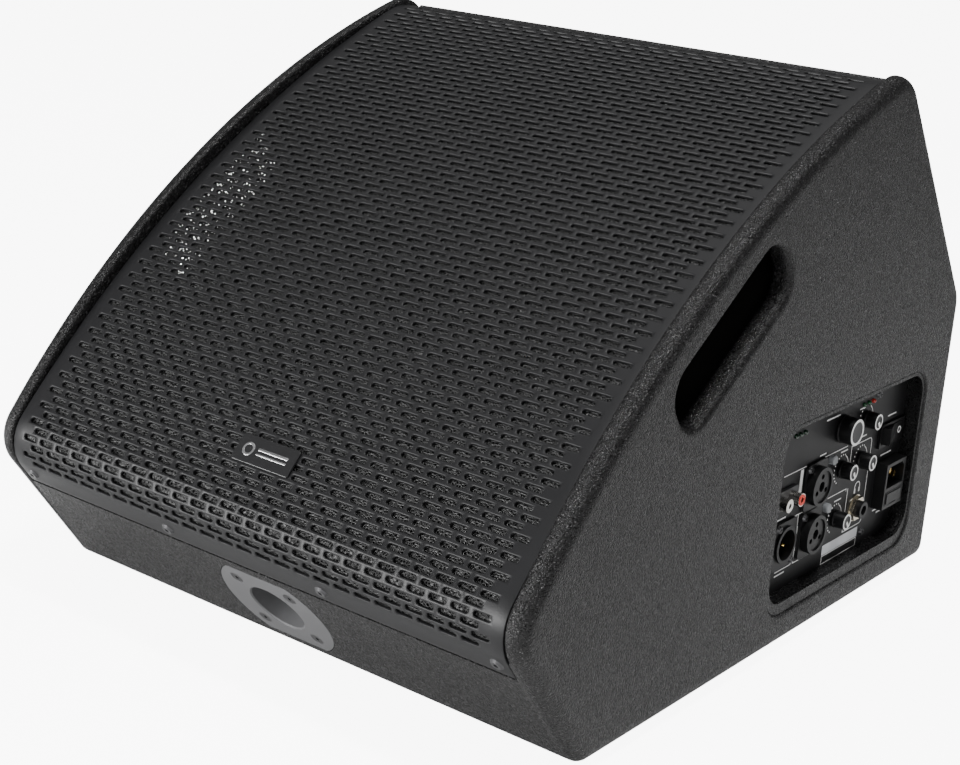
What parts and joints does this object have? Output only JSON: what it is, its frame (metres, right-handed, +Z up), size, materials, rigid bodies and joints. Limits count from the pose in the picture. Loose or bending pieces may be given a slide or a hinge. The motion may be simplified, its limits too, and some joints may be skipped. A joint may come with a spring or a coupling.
{
  "type": "stage monitor wedge",
  "caption": "Powered floor monitor loudspeaker: wedge cabinet, curved perforated grille, handle slots, pole socket, side control panel and coaxial driver.",
  "frame": {"origin": "centre of the cabinet's footprint box at floor level", "axes": "+X to the right as seen from the front, the control panel side; +Y to the back; +Z up; the grille faces -Y and up"},
  "size_m": [0.39, 0.4668, 0.3386],
  "materials": {
    "cabinet_paint": "board with coarse textured black paint",
    "bare_board": "plain board inside the cabinet, stained dark",
    "pale_board": "bare softwood batten",
    "grille_steel": "satin black powder coat on perforated steel",
    "foam": "open-cell black foam",
    "wadding": "soft white wadding",
    "black_screw": "black zinc screw",
    "zinc": "zinc-plated steel",
    "badge": "satin dark badge with a plain pale mark",
    "black_plastic": "moulded black plastic",
    "socket_plate": "satin grey-black steel",
    "rubber": "soft black rubber",
    "panel_paint": "satin black panel with white printed lines",
    "chassis_steel": "folded zinc-plated sheet",
    "aluminium": "extruded fins",
    "green_board": "printed circuit board with parts",
    "amber_board": "paper circuit board with parts",
    "contact": "nickel and gilt contacts",
    "glass": "glass fuse body",
    "nickel": "nickel-plated brass",
    "light_lens": "small tinted lenses, five green and one red",
    "grey_plastic": "light grey push button",
    "basket_paint": "black powder-coated pressed steel",
    "magnet": "sintered ferrite ring with a dark plate",
    "copper": "copper winding on its former",
    "spider_cloth": "varnished corrugated cloth",
    "cone_paper": "pressed black paper pulp",
    "surround_cloth": "doped black cloth roll"
  },
  "bodies": {
    "cabinet": {"side_panel_left": "cabinet_paint", "side_panel_right": "cabinet_paint", "bottom_panel": "cabinet_paint", "front_panel": "cabinet_paint", "back_panel": "cabinet_paint", "upper_back_panel": "cabinet_paint", "baffle": "bare_board", "baffle_rails": "pale_board", "grille": "grille_steel", "grille_foam": "foam", "grille_screws": "black_screw", "badge": "badge", "port_tubes": "black_plastic", "pole_socket": "socket_plate", "pole_socket_screws": "socket_plate", "rubber_feet": "rubber", "foot_screws": "zinc", "wadding": "wadding", "recess_frame": "black_plastic", "control_panel": "panel_paint", "panel_screws": "black_screw", "amp_chassis": "chassis_steel", "heatsink": "aluminium", "amp_board": "green_board", "power_supply_board": "amber_board", "mains_inlet": "black_plastic", "inlet_pins": "contact", "switch_frame": "black_plastic", "combo_socket_a": "black_plastic", "combo_socket_b": "black_plastic", "socket_screws": "black_screw", "xlr_output": "black_plastic", "xlr_pins": "contact", "phono_sockets": "nickel", "headphone_jack": "black_plastic", "jack_nut": "nickel", "status_lights": "light_lens", "potentiometers": "zinc", "button_switches": "black_plastic", "basket": "basket_paint", "magnet": "magnet", "pole_piece": "zinc", "spider": "spider_cloth", "surround": "surround_cloth", "horn": "black_plastic", "compression_driver": "basket_paint", "woofer_screws": "black_screw", "crossover_board": "green_board"},
    "preset_control": {"preset_knob": "black_plastic"},
    "level_control": {"level_knob": "black_plastic"},
    "headphone_control": {"headphone_knob": "black_plastic"},
    "volume_a_control": {"volume_a_knob": "black_plastic"},
    "volume_b_control": {"volume_b_knob": "black_plastic"},
    "button_a": {"line_button_a": "grey_plastic"},
    "button_b": {"line_button_b": "grey_plastic"},
    "rocker": {"power_rocker": "black_plastic"},
    "fuse_carrier": {"fuse_drawer": "black_plastic", "mains_fuse": "glass"},
    "cone_assembly": {"cone": "cone_paper", "voice_coil": "copper"}
  },
  "joints": [
    {"name": "preset_turn", "type": "hinge", "parent": "cabinet", "child": "preset_control", "pos_m": [0.183, 0.10688, 0.1222], "axis": [1, 0, 0], "continuous": true},
    {"name": "level_turn", "type": "hinge", "parent": "cabinet", "child": "level_control", "pos_m": [0.183, 0.13938, 0.121], "axis": [1, 0, 0], "range_deg": [0, 300]},
    {"name": "headphone_turn", "type": "hinge", "parent": "cabinet", "child": "headphone_control", "pos_m": [0.183, 0.13868, 0.094], "axis": [1, 0, 0], "range_deg": [0, 300]},
    {"name": "volume_a_turn", "type": "hinge", "parent": "cabinet", "child": "volume_a_control", "pos_m": [0.183, 0.11318, 0.094], "axis": [1, 0, 0], "range_deg": [0, 300]},
    {"name": "volume_b_turn", "type": "hinge", "parent": "cabinet", "child": "volume_b_control", "pos_m": [0.183, 0.11258, 0.0614], "axis": [1, 0, 0], "range_deg": [0, 300]},
    {"name": "button_a_press", "type": "slide", "parent": "cabinet", "child": "button_a", "axis": [1, 0, 0], "range_m": [-0.0025, 0]},
    {"name": "button_b_press", "type": "slide", "parent": "cabinet", "child": "button_b", "axis": [1, 0, 0], "range_m": [-0.0025, 0]},
    {"name": "power_rock", "type": "hinge", "parent": "cabinet", "child": "rocker", "pos_m": [0.181, 0.17688, 0.1037], "axis": [0, 0, 1], "range_deg": [-20, 0]},
    {"name": "fuse_drawer_slide", "type": "slide", "parent": "cabinet", "child": "fuse_carrier", "axis": [1, 0, 0], "range_m": [0, 0.016]},
    {"name": "cone_excursion", "type": "slide", "parent": "cabinet", "child": "cone_assembly", "axis": [0, -0.6018, 0.7986], "range_m": [-0.004, 0.004], "stiffness_N_per_m": 3000, "deforming": ["surround", "spider"]}
  ]
}
